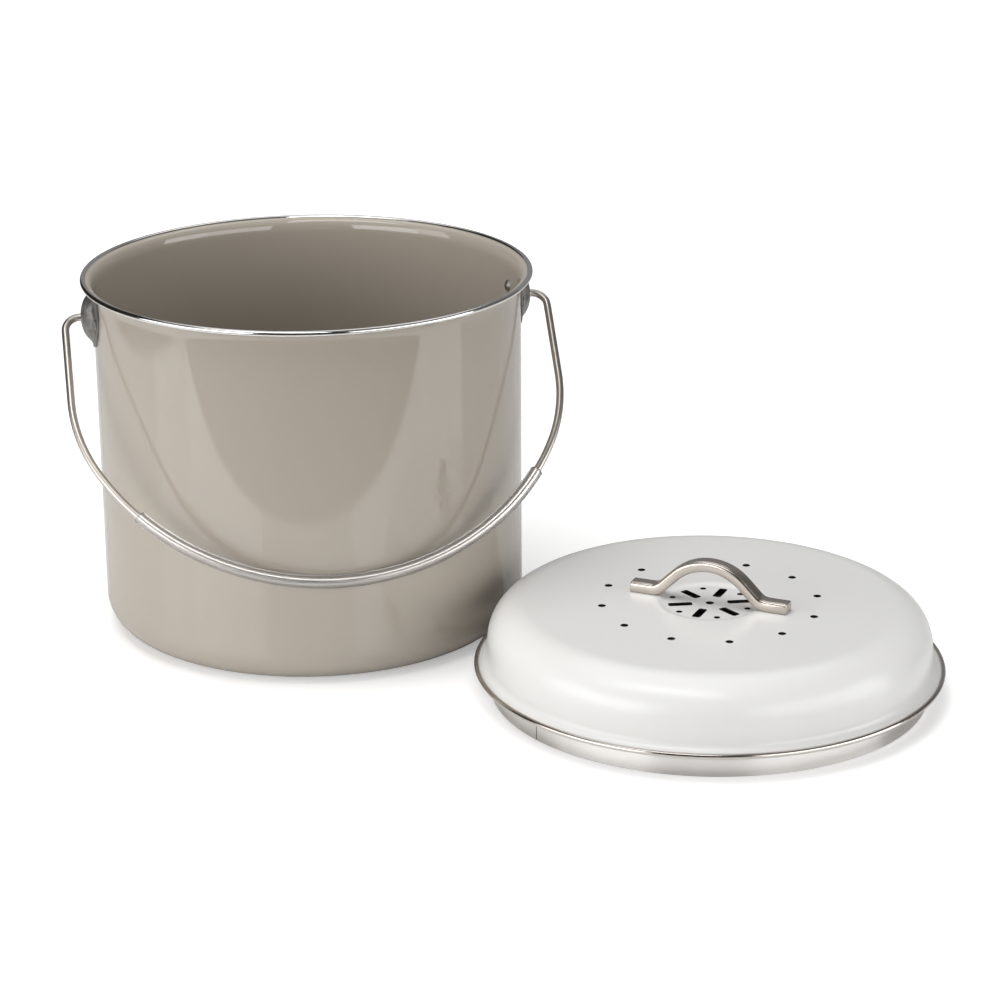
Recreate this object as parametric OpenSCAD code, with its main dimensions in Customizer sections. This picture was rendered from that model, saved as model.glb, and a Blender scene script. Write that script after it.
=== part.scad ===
// Compost caddy: a coated steel pail with a swinging bail, and its vented
// lift-off lid lying beside it on the table.
// Millimetres, +Z up. The origin is the middle of the pail's base, and the
// two ears stand on the X axis, so +Y points to the back of the pail.

/* [Pail] */
// Outside diameter of the straight wall
pail_d = 227.4; // [200:0.1:260]
// Height from the table to the top of the rim ring
pail_h = 192.4; // [150:0.1:240]
// Thickness of the drawn steel sheet
pail_sheet = 0.8; // [0.6:0.1:1.2]
// Outside radius between the wall and the base
pail_corner = 16; // [8:0.5:30]
// Radius of the outward bend at the mouth
flare_r = 3; // [2:0.1:3.6]

/* [Rim ring] */
// How far the ring stands out past the wall
rim_out = 6.3; // [5.6:0.1:7]
// Diameter of the rolled tube
rim_tube = 3; // [2.6:0.1:3.6]
// Sheet thickness of the rolled tube
rim_sheet = 0.5; // [0.3:0.1:0.6]
// Width of the open butt seam
seam_gap = 0.3; // [0.2:0.1:0.6]
// Angle of the seam, counted from the right ear
rim_seam_at = 201; // [195:1:230]

/* [Ears] */
// Depth of the bail's pivot below the top of the rim ring
pivot_drop = 19.9; // [19.6:0.1:30]
// Thickness of the pressed sheet
ear_sheet = 1; // [0.8:0.1:1.3]
// Distance from a rivet's middle to the edge of the round base plate
ear_margin = 4.4; // [3.4:0.1:6]
// Height of the plate's centre above the pivot
ear_plate_up = 4.9; // [0:0.1:6]
// Height of the pressed dome over the pail's wall
ear_dome_h = 6.9; // [6.2:0.1:9]
// Width of the dome where it meets the wall
ear_dome_w = 26; // [24:0.2:27]
// Length of the dome, up and down, where it meets the wall
ear_dome_l = 28.8; // [27:0.2:29]
// Gap between the top of the plate and the bend at the mouth
ear_rim_gap = 0.1; // [0.1:0.1:1]

/* [Rivets] */
// Distance between the two rivets of an ear
rivet_pitch = 33; // [31.6:0.2:34]
// Diameter of the shank
rivet_d = 4; // [3:0.1:4.2]
// Diameter of the domed head inside the pail
rivet_head_d = 6.7; // [5.6:0.1:7.4]
// Height of the domed head inside the pail
rivet_head_h = 2; // [1.2:0.1:2.6]
// Diameter of the flat closed end on the ear
rivet_tail_d = 5.4; // [5:0.1:6]
// Height of the flat closed end on the ear
rivet_tail_h = 1; // [0.6:0.1:1.4]
// Radial gap between a shank and its holes
rivet_clear = 0.05; // [0.02:0.01:0.1]

/* [Bail] */
// Diameter of the round wire
wire_d = 4; // [3.4:0.1:4.6]
// Radial running clearance of the wire in the ear
pivot_clear = 0.08; // [0.05:0.01:0.1]
// Length of the end stub from the ear's crown to the middle of the leg
stub_len = 8.4; // [8.2:0.1:14]
// Radius of the bend between the stub and the leg
bend_r = 8; // [5:0.1:8]
// Distance from the pivot axis to the middle of the grip
bail_reach = 163.5; // [150:0.5:190]
// How much the bottom arc's radius is larger than half the width
bail_ease = 5.3; // [3:0.1:9]
// Radius of the arcs between the bottom arc and the legs
bail_side_r = 90; // [70:1:110]
// Diameter of the upset head that holds the wire in the ear
wire_head_d = 7; // [6:0.1:7.4]
// Thickness of the upset head
wire_head_h = 1.8; // [1.2:0.1:2.4]
// End play between the head and the ear's crown
head_play = 0.8; // [0.8:0.1:1.4]

/* [Grip sleeve] */
// Outside diameter of the clear sleeve
grip_d = 6.8; // [6.2:0.1:8]
// Length of the sleeve along the wire
grip_len = 239; // [180:1:250]
// How far the sleeve has slipped towards the right ear
grip_slip = 7.7; // [0:0.1:12]
// Radial gap between the sleeve's bore and the wire
grip_clear = 0.05; // [0.02:0.01:0.2]
// Gap between the sleeve and the wall that it leans on
lean_gap = 0.4; // [0.4:0.1:1]

/* [Lid] */
// Height of the lid, from the skirt's lower edge to the flat top
lid_h = 47; // [42:0.1:60]
// Thickness of the drawn steel sheet
lid_sheet = 0.8; // [0.6:0.1:1.1]
// How far the lid's wall stands out past the pail's wall
lid_step = 0.3; // [0:0.1:1]
// Outside radius of the shoulder
lid_shoulder = 20.6; // [12:0.2:24]
// Radius of the cove between the wall and the flange
cove_r = 4; // [3:0.1:4.5]
// How far the lid's ring stands out past the pail's rim ring
lid_over = 0.9; // [0.4:0.1:2]
// Diameter of the lid's rolled ring
lid_tube = 2.8; // [2.6:0.1:3.2]
// Sheet thickness of the lid's rolled ring
lid_tube_sheet = 0.5; // [0.3:0.05:0.5]
// Gap between the lying lid and the pail's wall
lid_gap = 4.1; // [2:0.1:40]
// Direction from the pail to the lying lid, counted from the right ear
lid_side = -39.2; // [-60:0.1:-30]
// Turn of the lying lid's handle, counted from the ear axis
lid_turn = -34.2; // [-90:0.1:90]

/* [Lid skirt] */
// Depth of the skirt below the middle of the lid's ring
skirt_depth = 13.9; // [10:0.1:20]
// Thickness of the skirt's sheet
skirt_sheet = 0.6; // [0.5:0.1:0.7]
// Gap between the skirt and the pail's wall when the lid is on
skirt_gap = 0.5; // [0.3:0.1:1.5]
// Radius of the bend between the skirt and its flange
skirt_bend = 1.5; // [1:0.1:2.5]
// Angle of the ring's seam, counted from the handle
lid_seam_at = 241; // [210:1:255]

/* [Lid dish and vents] */
// Diameter of the shallow dish, at the middle of its slope
dish_d = 49; // [48.4:0.1:54]
// Depth of the dish
dish_depth = 2.2; // [1.2:0.1:2.6]
// Radius of the dish's bends, at the middle of the sheet
dish_bend = 2.4; // [2:0.1:3]
// Diameter of the outer ring of vents
outer_pcd = 111.6; // [106:0.2:124]
// Diameter of an outer vent
outer_vent_d = 3.8; // [2.5:0.1:5]
// Number of outer vents
outer_vents = 12; // [6:1:12]
// Diameter of the ring of small vents in the dish
inner_pcd = 40.6; // [36:0.2:41]
// Diameter of a small vent
inner_vent_d = 3; // [2:0.1:3.4]
// Diameter of the vent in the middle
centre_vent_d = 4; // [3:0.1:6]
// Number of slots, and of small vents between them
slots = 6; // [4:1:6]
// Diameter of the ring through the slots' middles
slot_pcd = 30.6; // [30:0.1:31]
// Length of a slot
slot_len = 12.2; // [9:0.1:12.6]
// Width of a slot
slot_w = 4.2; // [3:0.1:4.6]
// Radius of a slot's corners
slot_corner = 1.2; // [0.6:0.1:1.4]

/* [Lid handle] */
// Length between the ends of the feet
handle_len = 84.6; // [82:0.2:92]
// Width of the strap
handle_w = 8.6; // [7.6:0.1:12]
// Thickness of the strap
handle_t = 5.6; // [5.4:0.1:7]
// Radius of the strap's upper edges
handle_edge = 1.2; // [0.5:0.1:1.6]
// Height of the arch over the lid's top
handle_rise = 22.3; // [20.5:0.1:24.8]
// Radius of the arch at the middle of the strap
arch_r = 26; // [20:0.5:27]
// Radius of the bends over the feet at the middle of the strap
foot_bend = 9; // [6:0.5:10]
// Length of a flat foot
foot_len = 11; // [9.5:0.1:12]

/* [Handle screws] */
// Thread diameter
screw_d = 4; // [3:0.5:4]
// Length under the head
screw_len = 6; // [5:0.1:6]
// Radial gap between a screw and its tapped hole
screw_clear = 0.05; // [0.02:0.01:0.1]
// Depth of the tapped hole in a foot
tap_depth = 4.8; // [4.6:0.1:5]
// Diameter of the pan head
screw_head_d = 7.2; // [6:0.1:7.6]
// Height of the pan head
screw_head_h = 2.2; // [1.6:0.1:2.4]
// Length of the cross recess
recess_len = 4; // [3:0.1:4.4]
// Width of the cross recess
recess_w = 0.9; // [0.6:0.1:1.2]
// Depth of the cross recess
recess_depth = 1.2; // [0.8:0.1:1.2]
// Outside diameter of the washer
washer_d = 9; // [8:0.1:10]
// Thickness of the washer
washer_t = 0.8; // [0.6:0.1:1]
// Radial gap between a screw and the holes that it passes
hole_clear = 0.2; // [0.1:0.05:0.3]

/* [Charcoal filter] */
// Diameter of the filter disc
filter_d = 140; // [128:1:150]
// Thickness of the filter disc
filter_t = 8; // [5:0.5:10]
// Gap between the screw heads and the filter
filter_gap = 0.6; // [0.3:0.1:2]
// Width of a clip
clip_w = 12; // [8:0.5:16]
// Thickness of a clip's sheet
clip_sheet = 0.8; // [0.5:0.1:1]
// Inside radius of a clip's bends
clip_bend = 0.8; // [0.5:0.1:1]
// Gap between the filter's edge and a clip
clip_gap = 0.5; // [0.3:0.1:1.5]
// How far a clip's toe reaches under the filter
clip_toe = 6; // [4:0.5:10]
// How far a clip's foot reaches out under the lid
clip_foot = 9; // [6:0.5:10]

/* [Hidden] */
$fn = 96;

// A cut goes this far past the face that it opens
past = 1;
// Straight stretches run this far into the bends, and the bends are this much slimmer
lap = 0.05;
hair = 0.01;
// Number of turned-in clips round the filter, the first one halfway between the handle and the side
clips = 4;
first_clip_at = 45;

// Pail, seen as a half section: radius, height
wall_r = pail_d / 2;
inner_r = wall_r - pail_sheet;
rim_r = wall_r + rim_out - rim_tube / 2;
rim_z = pail_h - rim_tube / 2;
lip_low = rim_z - pail_sheet / 2;
flare_z = lip_low - flare_r;
// The lip ends inside the ring's hollow
lip_in_ring = 0.2;

// Ears and pivot
pivot_z = pail_h - pivot_drop;
ear_top = flare_z - ear_rim_gap;
ear_crown = wall_r + ear_dome_h;
dome_r = (pow(ear_dome_w / 2, 2) + pow(ear_dome_h, 2)) / (2 * ear_dome_h);
dome_x = ear_crown - dome_r;
dome_half = (ear_dome_l - ear_dome_w) / 2;
ear_plate_d = rivet_pitch + 2 * ear_margin;
rivet_turn = asin(rivet_pitch / 2 / wall_r);
// A flat head seats where its rim meets the curved wall inside
head_seat = sqrt(pow(inner_r, 2) - pow(rivet_head_d / 2, 2));
tail_seat = wall_r + ear_sheet;

// Bail, drawn flat: across is X, and the reach runs down -Y
leg_x = ear_crown + stub_len;
bail_r = leg_x + bail_ease;
bail_mid = bail_reach - bail_r;
side_x = leg_x - bail_side_r;
side_y = bail_mid + sqrt(pow(bail_r - bail_side_r, 2) - pow(side_x, 2));
side_turn = atan2(side_y - bail_mid, side_x);
head_out = ear_crown - ear_sheet - head_play;
lean = asin((wall_r + grip_d / 2 + lean_gap) / bail_reach);
grip_turn = grip_len / bail_r * 180 / PI;
slip_turn = grip_slip / bail_r * 180 / PI;
lap_turn = lap / bail_r * 180 / PI;

// Lid, seen as a half section standing on its skirt
lid_r = wall_r + lid_step;
ring_out = wall_r + rim_out + lid_over;
ring_r = ring_out - lid_tube / 2;
flange_sheet = lid_sheet + skirt_sheet;
flange_top = skirt_depth + flange_sheet / 2;
skirt_r = inner_r - skirt_gap;
skirt_top = flange_top - lid_sheet;
flange_in_ring = 0.1;
under_top = lid_h - lid_sheet;
lid_far = wall_r + ring_out + lid_gap;

// Dish: two equal bends that turn by dish_turn
dish_turn = acos(1 - dish_depth / (2 * dish_bend));
dish_half = dish_bend * sin(dish_turn);
dish_z = lid_h - lid_sheet / 2 - dish_depth;

// Handle: the middle line of the strap, from the crown to a foot
arch_rise = handle_rise - handle_t;
foot_x = handle_len / 2 - foot_len;
bends = arch_r + foot_bend;
flank = sqrt(pow(foot_x, 2) + pow(arch_rise - bends, 2) - pow(bends, 2));
arch_turn = atan2(arch_rise - bends, foot_x) + atan2(bends, flank);
screw_x = handle_len / 2 - foot_len / 2;

// Stack under the lid's top: washer, screw head, filter
head_top = under_top - washer_t;
filter_top = head_top - screw_head_h - filter_gap;
filter_low = filter_top - filter_t;
clip_r = filter_d / 2 + clip_gap;

// Ring sector of a sheet bent round a centre, between two angles
module bend(centre, r, sheet, from, to) {
    reach = 3 * (r + sheet);
    middle = (from + to) / 2;
    translate(centre)
        intersection() {
            difference() {
                circle(r + sheet);
                circle(r);
            }
            polygon([[0, 0],
                     reach * [cos(from), sin(from)],
                     reach * [cos(middle), sin(middle)],
                     reach * [cos(to), sin(to)]]);
        }
}

// Strip of a half section between two corners
module strip(low, high) {
    translate(low)
        square(high - low);
}

// Rolled tube, open towards the middle to take the sheets that it grips
module rolled_ring(r, z, tube, sheet, gripped) {
    rotate_extrude()
        translate([r, z])
            difference() {
                circle(tube / 2);
                circle(tube / 2 - sheet);
                translate([-tube, -gripped / 2])
                    square([tube, gripped]);
            }
}

// Cut for a butt seam in a ring of radius r
module seam_cut(r, z, tube, at) {
    rotate([0, 0, at])
        translate([r - tube, -seam_gap / 2, z - tube])
            cube([2 * tube, seam_gap, 2 * tube]);
}

// Places a piece in the lying lid
module on_lid() {
    rotate([0, 0, lid_side])
        translate([lid_far, 0, 0])
            rotate([0, 0, lid_turn - lid_side])
                children();
}

// Places a piece at the axis of each rivet of the right ear, pointing out
module at_rivets() {
    for (side = [-1, 1])
        rotate([0, 0, side * rivet_turn])
            translate([0, 0, pivot_z])
                rotate([0, 90, 0])
                    children();
}

module rivet_holes() {
    at_rivets()
        translate([0, 0, inner_r - past])
            cylinder(r = rivet_d / 2 + rivet_clear, h = 3 * past + pail_sheet + ear_sheet);
}

module pail_shell() {
    color([0.70, 0.67, 0.62])
        difference() {
            rotate_extrude() {
                strip([0, 0], [wall_r - pail_corner, pail_sheet]);
                bend([wall_r - pail_corner, pail_corner], pail_corner - pail_sheet, pail_sheet, -90, 0);
                strip([inner_r, pail_corner], [wall_r, flare_z]);
                bend([wall_r + flare_r, flare_z], flare_r, pail_sheet, 90, 180);
                strip([wall_r + flare_r, lip_low], [rim_r + lip_in_ring, lip_low + pail_sheet]);
            }
            rivet_holes();
            mirror([1, 0, 0])
                rivet_holes();
        }
}

module pail_rim() {
    color([0.80, 0.80, 0.80])
        difference() {
            rolled_ring(rim_r, rim_z, rim_tube, rim_sheet, pail_sheet);
            seam_cut(rim_r, rim_z, rim_tube, rim_seam_at);
        }
}

// Upright capsule: a turned half section with round ends
module capsule(r, half) {
    rotate_extrude() {
        strip([0, -half], [r, half]);
        for (end = [-1, 1])
            translate([0, end * half])
                intersection() {
                    circle(r);
                    translate([0, end > 0 ? 0 : -r])
                        square(r);
                }
    }
}

module ear() {
    color([0.58, 0.58, 0.57])
        difference() {
            union() {
                intersection() {
                    translate([0, 0, pivot_z - ear_plate_d])
                        cylinder(r = wall_r + ear_sheet, h = ear_top - pivot_z + ear_plate_d);
                    translate([dome_x, 0, pivot_z + ear_plate_up])
                        rotate([0, 90, 0])
                            cylinder(d = ear_plate_d, h = ear_crown);
                }
                translate([dome_x, 0, pivot_z])
                    capsule(dome_r, dome_half);
            }
            translate([dome_x, 0, pivot_z])
                capsule(dome_r - ear_sheet, dome_half);
            translate([0, 0, pivot_z - 2 * ear_plate_d])
                cylinder(r = wall_r, h = 4 * ear_plate_d);
            translate([wall_r, 0, pivot_z])
                rotate([0, 90, 0])
                    cylinder(r = wire_d / 2 + pivot_clear, h = ear_dome_h + past);
            rivet_holes();
        }
}

module ear_right() {
    ear();
}

module ear_left() {
    mirror([1, 0, 0])
        ear();
}

// Two rivets: a domed head inside the pail, a flat closed end on the ear
module rivets() {
    cap_r = (pow(rivet_head_d / 2, 2) + pow(rivet_head_h, 2)) / (2 * rivet_head_h);
    color([0.72, 0.72, 0.72])
        at_rivets() {
            translate([0, 0, head_seat - rivet_head_h / 2])
                cylinder(d = rivet_d, h = tail_seat + rivet_tail_h / 2 - head_seat + rivet_head_h / 2);
            intersection() {
                translate([0, 0, head_seat - rivet_head_h + cap_r])
                    sphere(r = cap_r);
                translate([0, 0, head_seat - 2 * rivet_head_h])
                    cylinder(d = 2 * rivet_head_d, h = 2 * rivet_head_h);
            }
            translate([0, 0, tail_seat])
                cylinder(d = rivet_tail_d, h = rivet_tail_h);
        }
}

module rivets_right() {
    rivets();
}

module rivets_left() {
    mirror([1, 0, 0])
        rivets();
}

// Hangs a bail that is drawn flat, at its lean against the front wall
module hang() {
    translate([0, 0, pivot_z])
        rotate([90 - lean, 0, 0])
            children();
}

// Bent round bar, or a tube where bore is over 0
module bent_bar(centre, r, bar_d, bore, from, to) {
    translate([centre[0], centre[1], 0])
        rotate([0, 0, from])
            rotate_extrude(angle = to - from)
                translate([r, 0])
                    difference() {
                        circle(d = bar_d);
                        if (bore > 0)
                            circle(d = bore);
                    }
}

// The wire's right half: head, stub, bend, leg and side arc
module bail_half() {
    bend_d = wire_d - 2 * hair;
    translate([head_out - wire_head_h, 0, 0])
        rotate([0, 90, 0])
            cylinder(d = wire_head_d, h = wire_head_h);
    translate([head_out - wire_head_h / 2, 0, 0])
        rotate([0, 90, 0])
            cylinder(d = wire_d, h = leg_x - bend_r + lap - head_out + wire_head_h / 2);
    bent_bar([leg_x - bend_r, -bend_r], bend_r, bend_d, 0, 0, 90);
    translate([leg_x, lap - bend_r, 0])
        rotate([90, 0, 0])
            cylinder(d = wire_d, h = side_y - bend_r + 2 * lap);
    bent_bar([side_x, -side_y], bail_side_r, bend_d, 0, -side_turn, 0);
}

module bail_wire() {
    color([0.78, 0.76, 0.73])
        hang() {
            bail_half();
            mirror([1, 0, 0])
                bail_half();
            bent_bar([0, -bail_mid], bail_r, wire_d, 0, side_turn - lap_turn - 180, lap_turn - side_turn);
        }
}

module bail_grip() {
    color([0.85, 0.87, 0.88, 0.5])
        hang()
            bent_bar([0, -bail_mid], bail_r, grip_d, wire_d + 2 * grip_clear,
                     slip_turn - grip_turn / 2 - 90, slip_turn + grip_turn / 2 - 90);
}

// One vent slot with rounded corners, standing on its ring
module slot_cut() {
    translate([slot_pcd / 2, 0, 0])
        linear_extrude(lid_h + past)
            union() {
                square([slot_len, slot_w - 2 * slot_corner], center = true);
                square([slot_len - 2 * slot_corner, slot_w], center = true);
                for (x = [-1, 1], y = [-1, 1])
                    translate([x * (slot_len / 2 - slot_corner), y * (slot_w / 2 - slot_corner)])
                        circle(slot_corner);
            }
}

module vents() {
    cylinder(d = centre_vent_d, h = lid_h + past);
    for (i = [0 : outer_vents - 1])
        rotate([0, 0, i * 360 / outer_vents])
            translate([outer_pcd / 2, 0, 0])
                cylinder(d = outer_vent_d, h = lid_h + past);
    for (i = [0 : slots - 1]) {
        rotate([0, 0, i * 360 / slots])
            translate([inner_pcd / 2, 0, 0])
                cylinder(d = inner_vent_d, h = lid_h + past);
        rotate([0, 0, (i + 0.5) * 360 / slots])
            slot_cut();
    }
}

// The two screw axes through the handle's feet
module at_feet() {
    for (side = [-1, 1])
        translate([side * screw_x, 0, 0])
            children();
}

module lid_section() {
    dish_in = dish_d / 2 - dish_half;
    dish_out = dish_d / 2 + dish_half;
    strip([0, dish_z - lid_sheet / 2], [dish_in, dish_z + lid_sheet / 2]);
    bend([dish_in, dish_z + dish_bend], dish_bend - lid_sheet / 2, lid_sheet, -90, dish_turn - 90);
    bend([dish_out, lid_h - lid_sheet / 2 - dish_bend], dish_bend - lid_sheet / 2, lid_sheet,
         90, 90 + dish_turn);
    strip([dish_out, under_top], [lid_r - lid_shoulder, lid_h]);
    bend([lid_r - lid_shoulder, lid_h - lid_shoulder], lid_shoulder - lid_sheet, lid_sheet, 0, 90);
    strip([lid_r - lid_sheet, flange_top + cove_r], [lid_r, lid_h - lid_shoulder]);
    bend([lid_r + cove_r, flange_top + cove_r], cove_r, lid_sheet, 180, 270);
    strip([lid_r + cove_r, flange_top - lid_sheet], [ring_r + flange_in_ring, flange_top]);
}

module lid_shell() {
    color([0.90, 0.90, 0.88])
        on_lid()
            difference() {
                rotate_extrude()
                    lid_section();
                vents();
                at_feet()
                    cylinder(r = screw_d / 2 + hole_clear, h = lid_h + past);
            }
}

module lid_rim() {
    color([0.62, 0.60, 0.57])
        on_lid()
            difference() {
                rolled_ring(ring_r, skirt_depth, lid_tube, lid_tube_sheet, flange_sheet);
                seam_cut(ring_r, skirt_depth, lid_tube, lid_seam_at);
            }
}

module lid_skirt() {
    color([0.75, 0.74, 0.72])
        on_lid()
            rotate_extrude() {
                strip([skirt_r - skirt_sheet, 0], [skirt_r, skirt_top - skirt_sheet - skirt_bend]);
                bend([skirt_r + skirt_bend, skirt_top - skirt_sheet - skirt_bend], skirt_bend,
                     skirt_sheet, 90, 180);
                strip([skirt_r + skirt_bend, skirt_top - skirt_sheet],
                      [ring_r + flange_in_ring, skirt_top]);
            }
}

// Cross section of the strap, made slimmer all round: flat below, rounded edges above
module strap_section(slim) {
    half = handle_w / 2 - slim;
    top = handle_t / 2 - slim;
    difference() {
        translate([-half, -top])
            square([2 * half, 2 * top]);
        for (side = [-1, 1])
            translate([side * half, top])
                square(2 * handle_edge, center = true);
    }
    for (side = [-1, 1])
        translate([side * (half - handle_edge), top - handle_edge])
            circle(handle_edge);
}

// Straight stretch of strap from a point of its middle line, dipping by an angle
module strap_run(from, dip, length) {
    translate([from[0], 0, from[1]])
        rotate([0, dip, 0])
            translate([-lap, 0, 0])
                rotate([90, 0, 90])
                    linear_extrude(length + lap)
                        strap_section(0);
}

// Bent stretch of strap; its upper face lies outside the bend, or inside it
module strap_bend(centre, r, outside, from, to) {
    translate([centre[0], 0, centre[1]])
        rotate([90, 0, 0])
            rotate([0, 0, from])
                rotate_extrude(angle = to - from)
                    translate([r, 0])
                        rotate(outside ? -90 : 90)
                            strap_section(hair);
}

module handle_side() {
    strap_run([arch_r * sin(arch_turn), arch_rise - arch_r + arch_r * cos(arch_turn)],
              arch_turn, flank + lap);
    strap_bend([foot_x, foot_bend], foot_bend, false, 270 - arch_turn, 270);
    strap_run([foot_x, 0], 0, foot_len);
}

module lid_handle() {
    color([0.74, 0.72, 0.69])
        on_lid()
            difference() {
                translate([0, 0, lid_h + handle_t / 2]) {
                    strap_bend([0, arch_rise - arch_r], arch_r, true, 90 - arch_turn, 90 + arch_turn);
                    handle_side();
                    mirror([1, 0, 0])
                        handle_side();
                }
                at_feet()
                    translate([0, 0, lid_h - past])
                        cylinder(r = screw_d / 2 + screw_clear, h = tap_depth + past);
            }
}

module handle_screws() {
    color([0.66, 0.66, 0.66])
        on_lid()
            at_feet()
                difference() {
                    union() {
                        translate([0, 0, head_top - screw_head_h])
                            cylinder(d = screw_head_d, h = screw_head_h);
                        translate([0, 0, head_top])
                            cylinder(d = screw_d, h = screw_len);
                    }
                    for (turn = [0, 90])
                        translate([0, 0, head_top - screw_head_h])
                            rotate([0, 0, turn])
                                cube([recess_len, recess_w, 2 * recess_depth], center = true);
                }
}

module handle_washers() {
    color([0.70, 0.70, 0.70])
        on_lid()
            at_feet()
                translate([0, 0, head_top])
                    difference() {
                        cylinder(d = washer_d, h = washer_t);
                        translate([0, 0, -past])
                            cylinder(r = screw_d / 2 + hole_clear, h = washer_t + 2 * past);
                    }
}

module charcoal_filter() {
    color([0.10, 0.10, 0.10])
        on_lid()
            translate([0, 0, filter_low])
                cylinder(d = filter_d, h = filter_t);
}

// Bent strip that holds the filter up: toe under it, leg beside it, foot under the lid's top
module filter_clip(i) {
    inside = clip_bend;
    outside = clip_bend + clip_sheet;
    color([0.68, 0.68, 0.68])
        on_lid()
            rotate([0, 0, first_clip_at + i * 360 / clips])
                translate([0, clip_w / 2, 0])
                    rotate([90, 0, 0])
                        linear_extrude(clip_w) {
                            strip([filter_d / 2 - clip_toe, filter_low - clip_sheet],
                                  [clip_r - inside, filter_low]);
                            bend([clip_r - inside, filter_low + inside], inside, clip_sheet, -90, 0);
                            strip([clip_r, filter_low + inside],
                                  [clip_r + clip_sheet, under_top - outside]);
                            bend([clip_r + outside, under_top - outside], inside, clip_sheet, 90, 180);
                            strip([clip_r + outside, under_top - clip_sheet],
                                  [clip_r + clip_foot, under_top]);
                        }
}

pail_shell();
pail_rim();
ear_left();
ear_right();
rivets_left();
rivets_right();
bail_wire();
bail_grip();
lid_shell();
lid_rim();
lid_skirt();
lid_handle();
handle_screws();
handle_washers();
charcoal_filter();
filter_clip(0);  // filter_clip_1
filter_clip(1);  // filter_clip_2
filter_clip(2);  // filter_clip_3
filter_clip(3);  // filter_clip_4
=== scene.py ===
import math
import bmesh
import bpy
from mathutils import Matrix, Vector


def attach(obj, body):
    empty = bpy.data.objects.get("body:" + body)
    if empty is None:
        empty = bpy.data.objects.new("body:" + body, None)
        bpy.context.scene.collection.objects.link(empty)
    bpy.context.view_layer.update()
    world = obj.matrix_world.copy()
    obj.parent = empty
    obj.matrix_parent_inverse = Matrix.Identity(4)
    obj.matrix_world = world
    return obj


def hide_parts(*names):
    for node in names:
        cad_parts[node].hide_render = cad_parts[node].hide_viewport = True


# Dresses the compost caddy: pail, bail and the lid that lies beside it. Sizes are in millimetres in the
# settings, and become metres where they meet Blender.
mm = 0.001
merging = {"seams": 0.002, "mirrored": 0.01}  # vertices nearer to each other than this become one
sameLevel = 0.1  # what is picked by its height lies within this of it
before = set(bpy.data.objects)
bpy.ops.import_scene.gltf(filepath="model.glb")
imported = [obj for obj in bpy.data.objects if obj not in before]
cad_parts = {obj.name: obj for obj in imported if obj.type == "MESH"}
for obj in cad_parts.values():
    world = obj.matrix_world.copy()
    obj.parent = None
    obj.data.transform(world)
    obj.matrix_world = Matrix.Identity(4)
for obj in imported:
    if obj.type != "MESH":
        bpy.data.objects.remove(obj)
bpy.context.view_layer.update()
print("frame loaded:", len(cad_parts), "nodes")


# small tools for modelling by operators

def clearSelection():
    bpy.ops.object.select_all(action="DESELECT")


def choose(piece):
    clearSelection()
    piece.select_set(True)
    bpy.context.view_layer.objects.active = piece


def applyPlace(piece):
    choose(piece)
    bpy.ops.object.transform_apply(location=True, rotation=True, scale=True)


def startPiece(name, addPrimitive, **place):
    clearSelection()
    addPrimitive(**place)
    piece = bpy.context.object
    piece.name = piece.data.name = name
    applyPlace(piece)
    return piece


def openEdit(piece):
    choose(piece)
    bpy.ops.object.mode_set(mode="EDIT")
    bpy.ops.mesh.select_mode(type="VERT")
    bpy.ops.mesh.select_all(action="SELECT")


def closeEdit():
    bpy.ops.object.mode_set(mode="OBJECT")


def pick(kind, test):
    # selects the vertices, edges or faces that pass the test
    bpy.ops.mesh.select_mode(type=kind)
    bpy.ops.mesh.select_all(action="DESELECT")
    mesh = bmesh.from_edit_mesh(bpy.context.edit_object.data)
    for part in {"VERT": mesh.verts, "EDGE": mesh.edges, "FACE": mesh.faces}[kind]:
        if test(part):
            part.select_set(True)
    mesh.select_flush_mode()
    bmesh.update_edit_mesh(bpy.context.edit_object.data)


def arc(centre, radius, start, end, steps):
    # places along an arc, from one angle in degrees to the other
    angles = [math.radians(start + (end - start) * i / steps) for i in range(steps + 1)]
    return [(centre[0] + radius * math.cos(a), centre[1] + radius * math.sin(a)) for a in angles]


def extrudeBy(x, y, z):
    bpy.ops.mesh.extrude_region_move(TRANSFORM_OT_translate={"value": (x * mm, y * mm, z * mm)})


def growRings(rings):
    # extrudes the selected ring from one (radius, height) to the next
    radius, height = rings[0]
    for nextRadius, nextHeight in rings[1:]:
        extrudeBy(0, 0, nextHeight - height)
        grow = nextRadius / radius
        bpy.ops.transform.resize(value=(grow, grow, 1), center_override=(0, 0, nextHeight * mm))
        radius, height = nextRadius, nextHeight


def growOvals(rings):
    # the same with a half width, a half length, a shift along Y and a height for each ring
    across, along, shift, height = rings[0]
    for nextAcross, nextAlong, nextShift, nextHeight in rings[1:]:
        extrudeBy(0, nextShift - shift, nextHeight - height)
        bpy.ops.transform.resize(value=(nextAcross / across, nextAlong / along, 1),
                                 center_override=(0, nextShift * mm, nextHeight * mm))
        across, along, shift, height = nextAcross, nextAlong, nextShift, nextHeight


def spinAbout(centre, axis, degrees, steps):
    place = [value * mm for value in centre]
    # the operator counts its angle the other way round
    bpy.ops.mesh.spin(steps=steps, angle=-math.radians(degrees), center=place, axis=axis)


def turnOutwards(piece, centre=(0, 0, 0), coreOf=None):
    # merges the seams, then makes the faces point away from a place inside, in millimetres, or from the
    # place that coreOf gives for each face
    openEdit(piece)
    bpy.ops.mesh.remove_doubles(threshold=merging["seams"] * mm)
    bpy.ops.mesh.normals_make_consistent(inside=False)
    inside = Vector(centre) * mm
    mesh = bmesh.from_edit_mesh(piece.data)
    outwards = 0
    for face in mesh.faces:
        spot = face.calc_center_median()
        core = coreOf(spot) if coreOf else inside
        outwards += face.calc_area() * face.normal.dot(spot - core)
    if outwards < 0:
        bpy.ops.mesh.flip_normals()
    closeEdit()


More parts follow.
